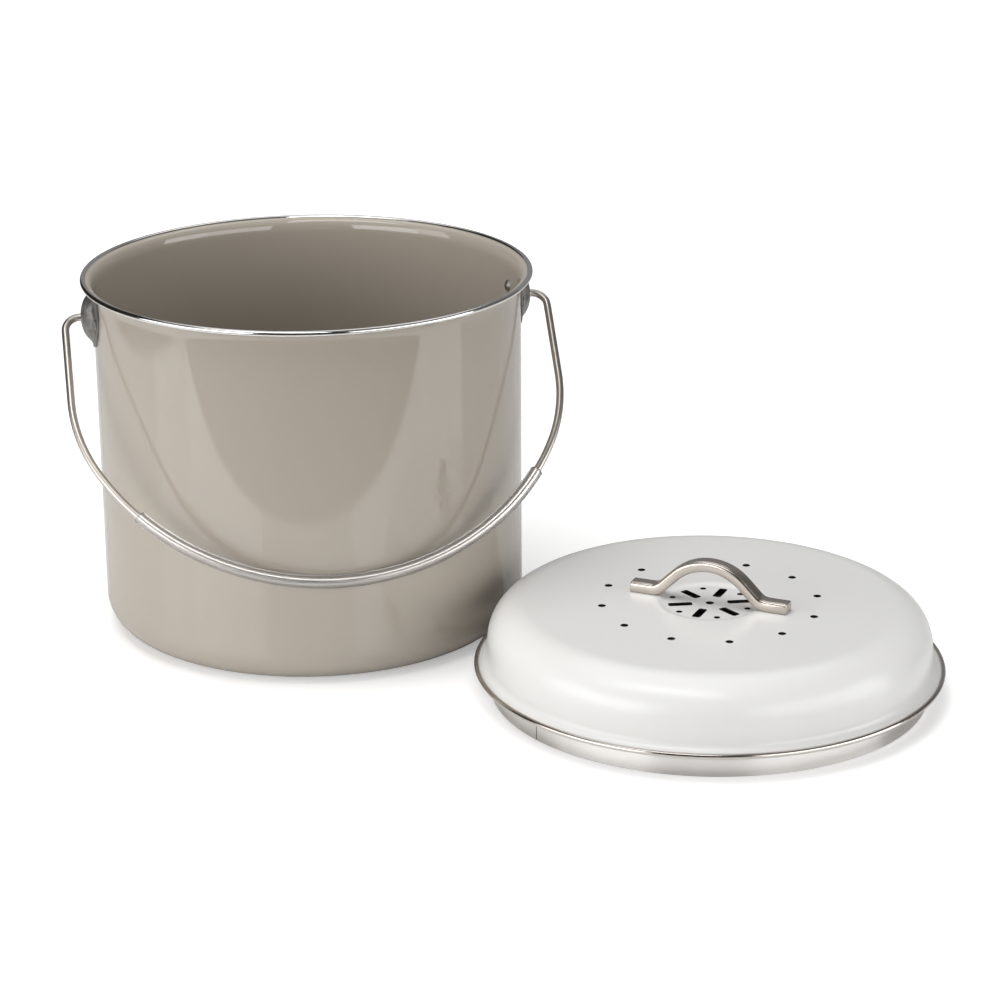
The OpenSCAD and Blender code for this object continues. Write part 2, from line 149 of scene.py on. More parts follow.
def makeTurned(name, sides, rings, startClosed=False, endClosed=False):
    # a piece turned about the upright axis, through rings of (radius, height)
    piece = startPiece(name, bpy.ops.mesh.primitive_circle_add, vertices=sides, radius=rings[0][0] * mm,
                       location=(0, 0, rings[0][1] * mm), fill_type="NGON" if startClosed else "NOTHING")
    openEdit(piece)
    growRings(rings)
    if endClosed:
        bpy.ops.mesh.edge_face_add()
    closeEdit()
    return piece


def finishWith(piece, kind, **settings):
    choose(piece)
    modifier = piece.modifiers.new(kind.lower(), kind)
    for name, value in settings.items():
        setattr(modifier, name, value)
    bpy.ops.object.modifier_apply(modifier=modifier.name)


def thicken(piece, sheet):
    finishWith(piece, "SOLIDIFY", thickness=sheet * mm, offset=-1, use_even_offset=True, use_rim=True)


def softenEdges(piece, width, segments=2, angle=40):
    finishWith(piece, "BEVEL", width=width * mm, segments=segments, limit_method="ANGLE",
               angle_limit=math.radians(angle))


def smoothOff(piece, angle=35):
    choose(piece)
    bpy.ops.object.shade_smooth_by_angle(angle=math.radians(angle))


def copyOf(piece, name):
    choose(piece)
    bpy.ops.object.duplicate()
    twin = bpy.context.object
    twin.name = twin.data.name = name
    return twin


def joined(pieces, name):
    clearSelection()
    for piece in pieces:
        piece.select_set(True)
    bpy.context.view_layer.objects.active = pieces[0]
    if len(pieces) > 1:
        bpy.ops.object.join()
    piece = bpy.context.object
    piece.name = piece.data.name = name
    return piece


def placeAt(piece, location=(0, 0, 0), turn=(0, 0, 0)):
    # in millimetres and degrees
    piece.rotation_euler = [math.radians(value) for value in turn]
    piece.location = Vector(location) * mm
    applyPlace(piece)


def handOver(piece, body, nodes, material):
    piece.data.materials.clear()
    piece.data.materials.append(material)
    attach(piece, body)
    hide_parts(*nodes)


# small tools for materials

def newMaterial(name):
    material = bpy.data.materials.new(name)
    material.use_nodes = True
    return material, material.node_tree, material.node_tree.nodes["Principled BSDF"]


def feed(tree, sockets, sources):
    # links each socket, by name or number, to its source, or sets its value
    for name, source in sources.items():
        if isinstance(source, bpy.types.NodeSocket):
            tree.links.new(source, sockets[name])
        else:
            sockets[name].default_value = source


def addNode(tree, kind, sources=None, **values):
    # values sets the node's own properties
    node = tree.nodes.new(kind)
    for name, value in values.items():
        setattr(node, name, value)
    feed(tree, node.inputs, sources or {})
    return node


def startGroup(name, takes):
    # takes holds the default of each input, and None for a place that has none
    tree = bpy.data.node_groups.new(name, "ShaderNodeTree")
    for label, value in takes.items():
        kind = "NodeSocketFloat" if isinstance(value, float) else "NodeSocketVector"
        socket = tree.interface.new_socket(label, in_out="INPUT", socket_type=kind)
        if value is not None:
            socket.default_value = value
    return tree, tree.nodes.new("NodeGroupInput").outputs


def finishGroup(tree, gives):
    for label, source in gives.items():
        kind = "NodeSocketVector" if source.type == "VECTOR" else "NodeSocketFloat"
        tree.interface.new_socket(label, in_out="OUTPUT", socket_type=kind)
    feed(tree, tree.nodes.new("NodeGroupOutput").inputs, gives)
    return tree


def placeGroup(tree, group, sources):
    return addNode(tree, "ShaderNodeGroup", sources, node_tree=group).outputs


def mathNode(tree, operation, first, second=0.5, third=0.0, clamp=False):
    sources = {0: first, 1: second, 2: third}
    return addNode(tree, "ShaderNodeMath", sources, operation=operation, use_clamp=clamp).outputs[0]


def varied(tree, factor, middle, spread, clamp=False):
    # follows a factor of 0 to 1 across the spread, and is at the middle where the factor is 0.5
    return mathNode(tree, "MULTIPLY_ADD", factor, spread, middle - spread / 2, clamp)


def reachOf(tree, first, second):
    squares = [mathNode(tree, "POWER", side, 2.0) for side in (first, second)]
    return mathNode(tree, "SQRT", mathNode(tree, "ADD", *squares))


def mixColours(tree, factor, first, second):
    return addNode(tree, "ShaderNodeMix", {0: factor, 6: first, 7: second}, data_type="RGBA").outputs[2]


def noise(tree, place, size, detail, roughness=0.5):
    sources = {"Vector": place, "Scale": size, "Detail": detail, "Roughness": roughness}
    return addNode(tree, "ShaderNodeTexNoise", sources).outputs["Fac"]


def cells(tree, place, size):
    return addNode(tree, "ShaderNodeTexVoronoi", {"Vector": place, "Scale": size}).outputs


def objectPlace(tree, centre=(0, 0, 0), turn=0):
    # Object coordinates about a centre in millimetres, turned round the vertical by degrees
    sources = {"Vector": tree.nodes.new("ShaderNodeTexCoord").outputs["Object"],
               "Location": Vector(centre) * mm, "Rotation": (0, 0, math.radians(turn))}
    return addNode(tree, "ShaderNodeMapping", sources, vector_type="TEXTURE").outputs["Vector"]


def dress(tree, surface, base, rough, height=None, depth=0.0):
    # the colour, the roughness and, where there is a height, a bump whose depth is in millimetres
    feed(tree, surface.inputs, {"Base Color": base, "Roughness": rough})
    if height is not None:
        bump = addNode(tree, "ShaderNodeBump", {"Height": height, "Strength": 1.0, "Distance": depth * mm})
        feed(tree, surface.inputs, {"Normal": bump.outputs["Normal"]})


skinGrain = {"peelDetail": 1.0, "peelRoughness": 0.4, "driftSize": 9.0, "driftDetail": 2.0, "speckReach": 0.2}
brushGrain = {"detail": 3.0, "roughness": 0.65, "smudgeSize": 60.0, "smudgeDetail": 3.0}


def makeSkinGroup():
    # sprayed and fired coating: a faint orange peel, slow drift of tone and a few specks
    tree, given = startGroup("coatedSkin", {"Vector": None, "Peel size": 400.0, "Speck size": 180.0,
                                            "Speck share": 0.03})
    place = given["Vector"]
    peel = noise(tree, place, given["Peel size"], skinGrain["peelDetail"], skinGrain["peelRoughness"])
    drift = noise(tree, place, skinGrain["driftSize"], skinGrain["driftDetail"])
    spots = cells(tree, place, given["Speck size"])
    tint = addNode(tree, "ShaderNodeSeparateColor", {"Color": spots["Color"]}).outputs
    few = mathNode(tree, "LESS_THAN", tint["Red"], given["Speck share"])
    reach = mathNode(tree, "MULTIPLY", tint["Green"], skinGrain["speckReach"])
    near = mathNode(tree, "LESS_THAN", spots["Distance"], reach)
    return finishGroup(tree, {"Peel": peel, "Drift": drift, "Specks": mathNode(tree, "MULTIPLY", few, near)})


def makeBrushGroup():
    # fine parallel lines: Stretch is how often the grain changes along each direction
    tree, given = startGroup("brushedGrain", {"Vector": None, "Stretch": (40, 3000, 40)})
    stretched = addNode(tree, "ShaderNodeVectorMath", {0: given["Vector"], 1: given["Stretch"]},
                        operation="MULTIPLY").outputs[0]
    grain = noise(tree, stretched, 1.0, brushGrain["detail"], brushGrain["roughness"])
    smudge = noise(tree, given["Vector"], brushGrain["smudgeSize"], brushGrain["smudgeDetail"])
    return finishGroup(tree, {"Grain": grain, "Smudge": smudge})


def makeRoundGroup():
    # turns a place into (angle, radius, height), for patterns that run round an upright axis
    tree, given = startGroup("roundPlace", {"Vector": None})
    split = addNode(tree, "ShaderNodeSeparateXYZ", {0: given["Vector"]}).outputs
    angle = mathNode(tree, "ARCTAN2", split["Y"], split["X"])
    radius = reachOf(tree, split["X"], split["Y"])
    together = addNode(tree, "ShaderNodeCombineXYZ", {0: angle, 1: radius, 2: split["Z"]}).outputs[0]
    return finishGroup(tree, {"Round": together, "Angle": angle, "Radius": radius})


def makePunchGroup():
    # 1 inside the holes or slots of one ring: there is one at each Step of angle from Start on, with its
    # middle at Ring from the axis; Half long and Half wide reach to the middle of its rounded corners
    takes = ("Angle", "Radius", "Step", "Start", "Ring", "Half long", "Half wide", "Corner")
    tree, given = startGroup("punchedRing", dict.fromkeys(takes, 0.0))
    turned = mathNode(tree, "SUBTRACT", given["Angle"], given["Start"])
    local = mathNode(tree, "PINGPONG", turned, mathNode(tree, "MULTIPLY", given["Step"], 0.5))
    along = mathNode(tree, "MULTIPLY", given["Radius"], mathNode(tree, "COSINE", local))
    along = mathNode(tree, "ABSOLUTE", mathNode(tree, "SUBTRACT", along, given["Ring"]))
    across = mathNode(tree, "MULTIPLY", given["Radius"], mathNode(tree, "SINE", local))
    along = mathNode(tree, "MAXIMUM", mathNode(tree, "SUBTRACT", along, given["Half long"]), 0.0)
    across = mathNode(tree, "MAXIMUM", mathNode(tree, "SUBTRACT", across, given["Half wide"]), 0.0)
    reach = reachOf(tree, along, across)
    return finishGroup(tree, {"Inside": mathNode(tree, "LESS_THAN", reach, given["Corner"])})


skinGroup = makeSkinGroup()
brushGroup = makeBrushGroup()
roundGroup = makeRoundGroup()
punchGroup = makePunchGroup()
print("shared effects ready")

lidPlace = {"centre": (184.98, -150.87, 0), "turn": -34.2}  # where the lid lies, in millimetres and degrees

enamelLook = {"tone": (0.412, 0.372, 0.319, 1), "deepTone": (0.396, 0.356, 0.303, 1), "roughness": 0.012,
              "spread": 0.01, "peelSize": 330.0, "peelDepth": 0.0007, "refraction": 1.5, "specular": 0.7}


def makePailEnamel():
    material, tree, surface = newMaterial("taupeEnamel")
    skin = placeGroup(tree, skinGroup, {"Vector": objectPlace(tree), "Peel size": enamelLook["peelSize"]})
    base = mixColours(tree, skin["Drift"], enamelLook["deepTone"], enamelLook["tone"])
    rough = varied(tree, skin["Drift"], enamelLook["roughness"], enamelLook["spread"])
    dress(tree, surface, base, rough, skin["Peel"], enamelLook["peelDepth"])
    surface.inputs["IOR"].default_value = enamelLook["refraction"]
    surface.inputs["Specular IOR Level"].default_value = enamelLook["specular"]
    return material


lidLook = {"tone": (0.738, 0.734, 0.718, 1), "deepTone": (0.718, 0.714, 0.698, 1), "roughness": 0.25,
           "spread": 0.05, "peelSize": 420.0, "peelDepth": 0.003, "refraction": 1.5,
           "speckTone": (0.33, 0.27, 0.22, 1), "speckSize": 55.0, "speckShare": 0.02,
           "holeShadeTone": (0.02, 0.018, 0.016, 1), "holeShadeReach": 0.13}


def makeLidEnamel():
    material, tree, surface = newMaterial("whiteEnamel")
    place = objectPlace(tree, **lidPlace)
    skin = placeGroup(tree, skinGroup, {"Vector": place, "Peel size": lidLook["peelSize"],
                                        "Speck size": lidLook["speckSize"], "Speck share": lidLook["speckShare"]})
    base = mixColours(tree, skin["Drift"], lidLook["deepTone"], lidLook["tone"])
    base = mixColours(tree, skin["Specks"], base, lidLook["speckTone"])
    # painted shade: the vents' walls and the inner part of their rounded edges are painted near black, standing in
    # for the shade inside the holes
    around = placeGroup(tree, roundGroup, {"Vector": place})
    full, corner = 2 * math.pi, vents["slotCorner"]
    slotStep = full / vents["slots"]
    rows = [(full / vents["outerCount"], 0, vents["outerAt"], 0, 0, vents["outer"]),
            (slotStep, 0, vents["innerAt"], 0, 0, vents["inner"]),
            (full, 0, 0, 0, 0, vents["centre"]),
            (slotStep, slotStep / 2, vents["slotAt"], vents["slotLong"] / 2 - corner,
             vents["slotWide"] / 2 - corner, corner)]
    holes = 0.0
    for step, start, at, halfLong, halfWide, reach in rows:
        inside = placeGroup(tree, punchGroup, {
            "Angle": around["Angle"], "Radius": around["Radius"], "Step": step, "Start": start,
            "Ring": at * mm, "Half long": halfLong * mm, "Half wide": halfWide * mm,
            "Corner": (reach + lidLook["holeShadeReach"]) * mm})
        holes = mathNode(tree, "MAXIMUM", inside["Inside"], holes)
    # painted shade: near black over the holes and their edges
    base = mixColours(tree, holes, base, lidLook["holeShadeTone"])
    rough = varied(tree, skin["Drift"], lidLook["roughness"], lidLook["spread"])
    dress(tree, surface, base, rough, skin["Peel"], lidLook["peelDepth"])
    surface.inputs["IOR"].default_value = lidLook["refraction"]
    return material


seamLook = {"halfTurn": 0.0035, "tone": (0.26, 0.20, 0.14, 1), "depth": 3.0}
steelLooks = {
    "rimSteel": {"tone": (0.80, 0.79, 0.77, 1), "darkening": 0.93, "roughness": 0.10, "spread": 0.04,
                 "rounded": True, "stretch": (30, 900, 900), "grainDepth": 0.0003},
    "lidRimSteel": {"tone": (0.62, 0.58, 0.54, 1), "darkening": 0.9, "roughness": 0.16, "spread": 0.05,
                    "rounded": True, "stretch": (30, 900, 900), "grainDepth": 0.0003, "place": lidPlace},
    "skirtSteel": {"tone": (0.82, 0.80, 0.775, 1), "darkening": 0.86, "roughness": 0.24, "spread": 0.1,
                   "rounded": True, "stretch": (25, 100, 4200), "grainDepth": 0.004, "place": lidPlace,
                   "seamAt": 241 - 360},  # angles run from -180 to 180
    "handleSteel": {"tone": (0.62, 0.565, 0.51, 1), "darkening": 0.84, "roughness": 0.25, "spread": 0.12,
                    "rounded": False, "stretch": (60, 4200, 60), "grainDepth": 0.004, "place": lidPlace},
    "wireSteel": {"tone": (0.62, 0.575, 0.53, 1), "darkening": 0.9, "roughness": 0.30, "spread": 0.06,
                  "rounded": False, "stretch": (900, 60, 60), "grainDepth": 0.001},
    "rivetSteel": {"tone": (0.38, 0.37, 0.36, 1), "darkening": 0.85, "roughness": 0.40, "spread": 0.1,
                   "rounded": False, "stretch": (300, 300, 300), "grainDepth": 0.004},
    "fastenerSteel": {"tone": (0.66, 0.66, 0.65, 1), "darkening": 0.85, "roughness": 0.25, "spread": 0.12,
                      "rounded": False, "stretch": (800, 800, 800), "grainDepth": 0.003},
    "clipSteel": {"tone": (0.68, 0.68, 0.67, 1), "darkening": 0.85, "roughness": 0.3, "spread": 0.12,
                  "rounded": False, "stretch": (300, 300, 3000), "grainDepth": 0.004}}


def makeSteel(name, look):
    # bare steel with its grain round an upright axis, or straight along the piece
    material, tree, surface = newMaterial(name)
    place = objectPlace(tree, **look.get("place", {}))
    around = placeGroup(tree, roundGroup, {"Vector": place})
    brushed = placeGroup(tree, brushGroup, {"Vector": around["Round"] if look["rounded"] else place,
                                            "Stretch": look["stretch"]})
    dark = tuple(value * look["darkening"] for value in look["tone"][:3]) + (1,)
    base = mixColours(tree, brushed["Grain"], dark, look["tone"])
    height = brushed["Grain"]
    if "seamAt" in look:
        # a thin welded line at one angle round the axis
        apart = mathNode(tree, "SUBTRACT", around["Angle"], math.radians(look["seamAt"]))
        seam = mathNode(tree, "LESS_THAN", mathNode(tree, "ABSOLUTE", apart), seamLook["halfTurn"])
        base = mixColours(tree, seam, base, seamLook["tone"])
        height = mathNode(tree, "SUBTRACT", height, mathNode(tree, "MULTIPLY", seam, seamLook["depth"]))
    rough = varied(tree, brushed["Smudge"], look["roughness"], look["spread"])
    dress(tree, surface, base, rough, height, look["grainDepth"])
    surface.inputs["Metallic"].default_value = 1.0
    return material


zincLook = {"tone": (0.40, 0.39, 0.375, 1), "deepTone": (0.13, 0.125, 0.12, 1), "contrast": 1.6,
            "mottleSize": 260.0, "mottleDetail": 4.0, "mottleRoughness": 0.6, "crystalSize": 420.0,
            "crystalShare": 0.3, "bumpDepth": 0.03, "roughness": 0.465, "spread": 0.25, "metallic": 0.9}


def makeZinc():
    material, tree, surface = newMaterial("zincPlate")
    place = objectPlace(tree)
    mottle = noise(tree, place, zincLook["mottleSize"], zincLook["mottleDetail"], zincLook["mottleRoughness"])
    crystals = cells(tree, place, zincLook["crystalSize"])["Distance"]
    share = varied(tree, mottle, 0.5, zincLook["contrast"], clamp=True)
    base = mixColours(tree, share, zincLook["deepTone"], zincLook["tone"])
    rough = varied(tree, mottle, zincLook["roughness"], zincLook["spread"])
    height = mathNode(tree, "ADD", mottle, mathNode(tree, "MULTIPLY", crystals, zincLook["crystalShare"]))
    dress(tree, surface, base, rough, height, zincLook["bumpDepth"])
    surface.inputs["Metallic"].default_value = zincLook["metallic"]
    return material


sleeveLook = {"tone": (0.92, 0.93, 0.95, 1), "deepTone": (0.86, 0.87, 0.89, 1), "hazeSize": 40.0,
              "hazeDetail": 1.0, "roughness": 0.065, "spread": 0.03, "clearness": 0.92, "refraction": 1.42}


def makeSleeve():
    material, tree, surface = newMaterial("clearSleeve")
    haze = noise(tree, objectPlace(tree), sleeveLook["hazeSize"], sleeveLook["hazeDetail"])
    base = mixColours(tree, haze, sleeveLook["deepTone"], sleeveLook["tone"])
    dress(tree, surface, base, varied(tree, haze, sleeveLook["roughness"], sleeveLook["spread"]))
    surface.inputs["Transmission Weight"].default_value = sleeveLook["clearness"]
    surface.inputs["IOR"].default_value = sleeveLook["refraction"]
    return material


feltLook = {"tone": (0.035, 0.034, 0.033, 1), "deepTone": (0.006, 0.006, 0.006, 1), "fibreSize": 900.0,
            "fibreDetail": 5.0, "fibreRoughness": 0.7, "grainSize": 500.0, "grainShare": 0.6,
            "bumpDepth": 0.5, "roughness": 0.95, "sheen": 0.05}


def makeFelt():
    material, tree, surface = newMaterial("charcoalFelt")
    place = objectPlace(tree)
    fibres = noise(tree, place, feltLook["fibreSize"], feltLook["fibreDetail"], feltLook["fibreRoughness"])
    grains = cells(tree, place, feltLook["grainSize"])["Distance"]
    base = mixColours(tree, fibres, feltLook["deepTone"], feltLook["tone"])
    height = mathNode(tree, "ADD", fibres, mathNode(tree, "MULTIPLY", grains, feltLook["grainShare"]))
    dress(tree, surface, base, feltLook["roughness"], height, feltLook["bumpDepth"])
    surface.inputs["Sheen Weight"].default_value = feltLook["sheen"]
    return material


pailEnamel = makePailEnamel()
steels = {name: makeSteel(name, look) for name, look in steelLooks.items()}
zincPlate = makeZinc()
clearSleeve = makeSleeve()
charcoalFelt = makeFelt()
print("materials ready")

pail = {"wall": 113.7, "sheet": 0.8, "corner": 16.0, "lipLow": 190.5, "flareStart": 183.5, "flareOut": 3.0,
        "flareSteps": 10, "lipOut": 118.7, "cornerSteps": 14, "holdRing": 1, "floorRing": 70, "inside": 100,
        "segments": 192}


def makePailShell():
    wall, corner, low = pail["wall"], pail["corner"], pail["lipLow"]
    rise = low - pail["flareStart"]
    angles = [math.radians(90 - 90 * i / pail["flareSteps"]) for i in range(pail["flareSteps"] + 1)]
    rings = [(pail["lipOut"], low)]
    rings += [(wall + pail["flareOut"] * (1 - math.cos(a)), pail["flareStart"] + rise * math.sin(a)) for a in angles]
    rings += [(wall, pail["flareStart"] - pail["holdRing"]), (wall, corner + pail["holdRing"])]
    rings += arc((wall - corner, corner), corner, 0, -90, pail["cornerSteps"])
    rings += [(wall - corner - pail["holdRing"], 0), (pail["floorRing"], 0)]
    shell = makeTurned("pailShell", pail["segments"], rings, endClosed=True)
    turnOutwards(shell, (0, 0, pail["inside"]))
    thicken(shell, pail["sheet"])
    smoothOff(shell)
    handOver(shell, "pail", ["pail_shell"], pailEnamel)


ring = {"radius": 118.5, "height": 190.9, "tube": 1.5, "sheet": 0.5, "seamAt": 201, "gap": 0.3, "slot": 16,
        "sides": 32, "steps": 360}
lidRing = {"radius": 119.5, "height": 13.9, "tube": 1.4, "sheet": 0.5, "seamAt": 241, "gap": 0.3, "slot": 30,
           "sides": 32, "steps": 360}


def makeRolledRing(name, size):
    # a C section, open towards the middle, spun round and left open at its butt seam
    middle = Vector((0, 0, size["height"] * mm))

    def coreOf(spot):
        # outwards of a tube is away from its own middle line
        return Vector((spot.x, spot.y, 0)).normalized() * size["radius"] * mm + middle

    half = math.degrees(size["gap"] / 2 / size["radius"])
    start = math.radians(size["seamAt"] + half)
    at = (size["radius"] * math.cos(start) * mm, size["radius"] * math.sin(start) * mm, size["height"] * mm)
    rolled = startPiece(name, bpy.ops.mesh.primitive_circle_add, vertices=size["sides"],
                        radius=size["tube"] * mm, location=at, rotation=(math.pi / 2, 0, start))
    inwards = Vector((-math.cos(start), -math.sin(start), 0))
    opening = math.cos(math.radians(size["slot"]))
    openEdit(rolled)
    pick("VERT", lambda v: (v.co - Vector(at)).normalized().dot(inwards) > opening)
    bpy.ops.mesh.delete(type="VERT")
    bpy.ops.mesh.select_all(action="SELECT")
    spinAbout((0, 0, size["height"]), (0, 0, 1), 360 - 2 * half, size["steps"])
    closeEdit()
    turnOutwards(rolled, coreOf=coreOf)
    thicken(rolled, size["sheet"])
    smoothOff(rolled, angle=50)
    return rolled


ear = {"hole": 2.08, "domeRadius": 15.7, "domeHigh": 6.9, "domeRings": (3.4, 5, 6.6, 8.2, 9.6, 11.0),
       "longer": 1.4, "longFrom": 2, "longOver": 5, "footRings": ((11.75, 1.78), (12.5, 1.36), (13.3, 1.09)),
       "foot": 14.0, "plate": 20.9, "plateUp": 4.9, "plateSteps": 4, "topCut": 14.9, "sheet": 1.0, "edge": 0.28,
       "under": -20, "pivot": 172.5, "sides": 72}


def makeEars():
    # rings from the wire's hole down the dome and its foot to the plate's outline; the dome is a little longer
    # than wide, and the outline sits higher than the dome
    deep, longer, foot, plate = ear["domeHigh"] - ear["domeRadius"], ear["longer"], ear["foot"], ear["plate"]
    rings = [(ear["hole"], ear["hole"], 0, deep + math.sqrt(ear["domeRadius"] ** 2 - ear["hole"] ** 2))]
    for radius in ear["domeRings"]:
        more = longer * min(1, (radius - ear["longFrom"]) / ear["longOver"])
        rings.append((radius, radius + more, 0, deep + math.sqrt(ear["domeRadius"] ** 2 - radius ** 2)))
    rings += [(radius, radius + longer, 0, high) for radius, high in ear["footRings"]]
    for share in [i / ear["plateSteps"] for i in range(ear["plateSteps"] + 1)]:
        rings.append((foot + (plate - foot) * share, foot + longer + (plate - foot - longer) * share,
                      ear["plateUp"] * share, ear["sheet"]))
    right = startPiece("earRight", bpy.ops.mesh.primitive_circle_add, vertices=ear["sides"],
                       radius=rings[0][0] * mm, location=(0, 0, rings[0][3] * mm))
    openEdit(right)
    growOvals(rings)
    bpy.ops.mesh.select_all(action="SELECT")
    bpy.ops.mesh.bisect(plane_co=(0, ear["topCut"] * mm, 0), plane_no=(0, 1, 0), clear_outer=True)
    closeEdit()
    turnOutwards(right, (0, 0, ear["under"]))
    thicken(right, ear["sheet"])
    softenEdges(right, ear["edge"], angle=50)
    placeAt(right, turn=(90, 0, 0))
    finishWith(right, "SIMPLE_DEFORM", deform_method="BEND", deform_axis="Z",
               angle=right.dimensions.x / (pail["wall"] * mm))
    placeAt(right, (pail["wall"], 0, ear["pivot"]), (0, 0, 90))
    inSheet = pail["wall"] + ear["sheet"] / 2
    turnOutwards(right, (inSheet, 0, ear["pivot"]))
    smoothOff(right, angle=40)
    left = copyOf(right, "earLeft")
    left.scale = (-1, 1, 1)
    applyPlace(left)
    turnOutwards(left, (-inSheet, 0, ear["pivot"]))
    smoothOff(left, angle=40)
    handOver(right, "pail", ["ear_right"], zincPlate)
    handOver(left, "pail", ["ear_left"], zincPlate)


rivet = {"turn": 8.344, "headSeat": 112.85, "head": 3.35, "headHigh": 2.0, "shank": 2.0, "tailSeat": 114.7,
         "tail": 2.7, "tailHigh": 1.0, "tailUnder": 0.1, "tailRound": 0.35, "tailSteps": 4, "neck": 0.15,
         "neckHigh": 0.1, "dimple": 0.9, "dimpleLow": 0.5, "dimpleDeep": 0.25, "headFrom": -88, "headSteps": 9,
         "middle": 113.8, "sides": 40}


def makeRivets():
    seat, high = rivet["headSeat"], rivet["headHigh"]
    ball = (rivet["head"] ** 2 + high ** 2) / (2 * high)
    full = math.degrees(math.asin(rivet["head"] / ball))
    head = arc((0, seat - high + ball), ball, rivet["headFrom"], full - 90, rivet["headSteps"])
    shank, tailSeat = rivet["shank"], rivet["tailSeat"]
    rings = head + [(shank + rivet["neck"], seat), (shank, seat + rivet["neckHigh"]), (shank, tailSeat)]
    tail, top, bend = rivet["tail"], tailSeat + rivet["tailHigh"], rivet["tailRound"]
    rings += [(tail - rivet["tailUnder"], tailSeat)]
    rings += arc((tail - bend, top - bend), bend, 0, 90, rivet["tailSteps"])
    rings += [(rivet["dimple"], top), (rivet["dimpleLow"], top - rivet["dimpleDeep"])]
    first = makeTurned("rivet", rivet["sides"], rings, startClosed=True)
    turnOutwards(first, (0, 0, rivet["middle"]))
    smoothOff(first, angle=40)
    for side, name, node in ((0, "rivetsRight", "rivets_right"), (180, "rivetsLeft", "rivets_left")):
        pair = []
        for swing in (-rivet["turn"], rivet["turn"]):
            one = copyOf(first, "rivetCopy")
            placeAt(one, (0, 0, ear["pivot"]), (0, 90, side + swing))
            pair.append(one)
        handOver(joined(pair, name), "pail", [node], steels["rivetSteel"])
    bpy.data.objects.remove(first)


# the bail is drawn flat, as in the source: across is X, and the reach runs down -Y
bail = {"headOut": 118.8, "head": 3.5, "headHigh": 1.8, "headEdge": 0.3, "wire": 2.0, "leg": 129.0, "bend": 8.0,
        "bendSteps": 16, "sideRadius": 90.0, "sideSteps": 14, "bottomRadius": 134.3, "bottomAt": 29.2,
        "bottomSteps": 110, "lean": 45.945, "sides": 48, "grip": 3.4, "gripWall": 1.45, "gripEdge": 0.2,
        "gripLong": 239.0, "gripSlip": 7.7, "gripSteps": 200}


def hang(piece):
    placeAt(piece, (0, 0, ear["pivot"]), (90 - bail["lean"], 0, 0))


def makeBail():
    sideX = bail["leg"] - bail["sideRadius"]
    sideY = bail["bottomAt"] + math.sqrt((bail["bottomRadius"] - bail["sideRadius"]) ** 2 - sideX ** 2)
    sideTurn = math.degrees(math.atan2(sideY - bail["bottomAt"], sideX))
    wire = startPiece("bailWire", bpy.ops.mesh.primitive_circle_add, vertices=bail["sides"], fill_type="NGON",
                      radius=bail["head"] * mm, rotation=(0, math.pi / 2, 0),
                      location=((bail["headOut"] - bail["headHigh"]) * mm, 0, 0))
    openEdit(wire)
    extrudeBy(bail["headHigh"], 0, 0)
    bpy.ops.mesh.inset(thickness=(bail["head"] - bail["wire"]) * mm)
    extrudeBy(bail["leg"] - bail["bend"] - bail["headOut"], 0, 0)
    spinAbout((bail["leg"] - bail["bend"], -bail["bend"], 0), (0, 0, 1), -90, bail["bendSteps"])
    extrudeBy(0, bail["bend"] - sideY, 0)
    spinAbout((sideX, -sideY, 0), (0, 0, 1), -sideTurn, bail["sideSteps"])
    spinAbout((0, -bail["bottomAt"], 0), (0, 0, 1), sideTurn - 90, bail["bottomSteps"])
    bpy.ops.mesh.delete(type="ONLY_FACE")
    closeEdit()
    finishWith(wire, "MIRROR", use_axis=(True, False, False), merge_threshold=merging["mirrored"] * mm)
    softenEdges(wire, bail["headEdge"], segments=3, angle=60)
    hang(wire)
    turnOutwards(wire)
    smoothOff(wire, angle=40)
    handOver(wire, "bail", ["bail_wire"], steels["wireSteel"])

    radius = bail["bottomRadius"]
    long = bail["gripLong"] / radius
    start = bail["gripSlip"] / radius - long / 2 - math.pi / 2
    at = (radius * math.cos(start) * mm, (radius * math.sin(start) - bail["bottomAt"]) * mm, 0)
    grip = startPiece("bailGrip", bpy.ops.mesh.primitive_circle_add, vertices=bail["sides"],
                      radius=bail["grip"] * mm, rotation=(math.pi / 2, 0, start), location=at)
    openEdit(grip)
    spinAbout((0, -bail["bottomAt"], 0), (0, 0, 1), math.degrees(long), bail["gripSteps"])
    closeEdit()
    turnOutwards(grip, (0, -bail["bottomAt"], 0))
    thicken(grip, bail["gripWall"])
    softenEdges(grip, bail["gripEdge"], angle=60)
    hang(grip)
    smoothOff(grip, angle=40)
    handOver(grip, "bail", ["bail_grip"], clearSleeve)


# the lid is modelled round its own middle with the handle along X, then laid beside the pail
lid = {"high": 47.0, "sheet": 0.8, "wall": 114.0, "shoulder": 20.6, "cove": 4.0, "flangeTop": 14.6,
       "flangeOut": 119.6, "dishAt": 25.2, "dishBend": 7.0, "dishDepth": 1.1, "topRings": (60, 30), "holdOuter": 1.5,
       "holdDish": 0.6, "holdFloor": 0.3, "middleRing": 5, "coveSteps": 8, "shoulderSteps": 20, "dishSteps": 6,
       "segments": 192}
vents = {"outerAt": 55.8, "outer": 1.9, "outerCount": 12, "innerAt": 20.3, "inner": 1.5, "centre": 2.0,
         "slotAt": 15.3, "slotLong": 12.2, "slotWide": 4.2, "slotCorner": 1.2, "slots": 6,
         "screwAt": 36.8, "screw": 2.2, "sides": 32, "cornerSteps": 5}
cutting = {"over": 1, "edgeRound": 0.2, "edgeSteps": 3, "deep": 4}

lidEnamel = makeLidEnamel()


def layDown(piece):
    placeAt(piece, lidPlace["centre"], (0, 0, lidPlace["turn"]))


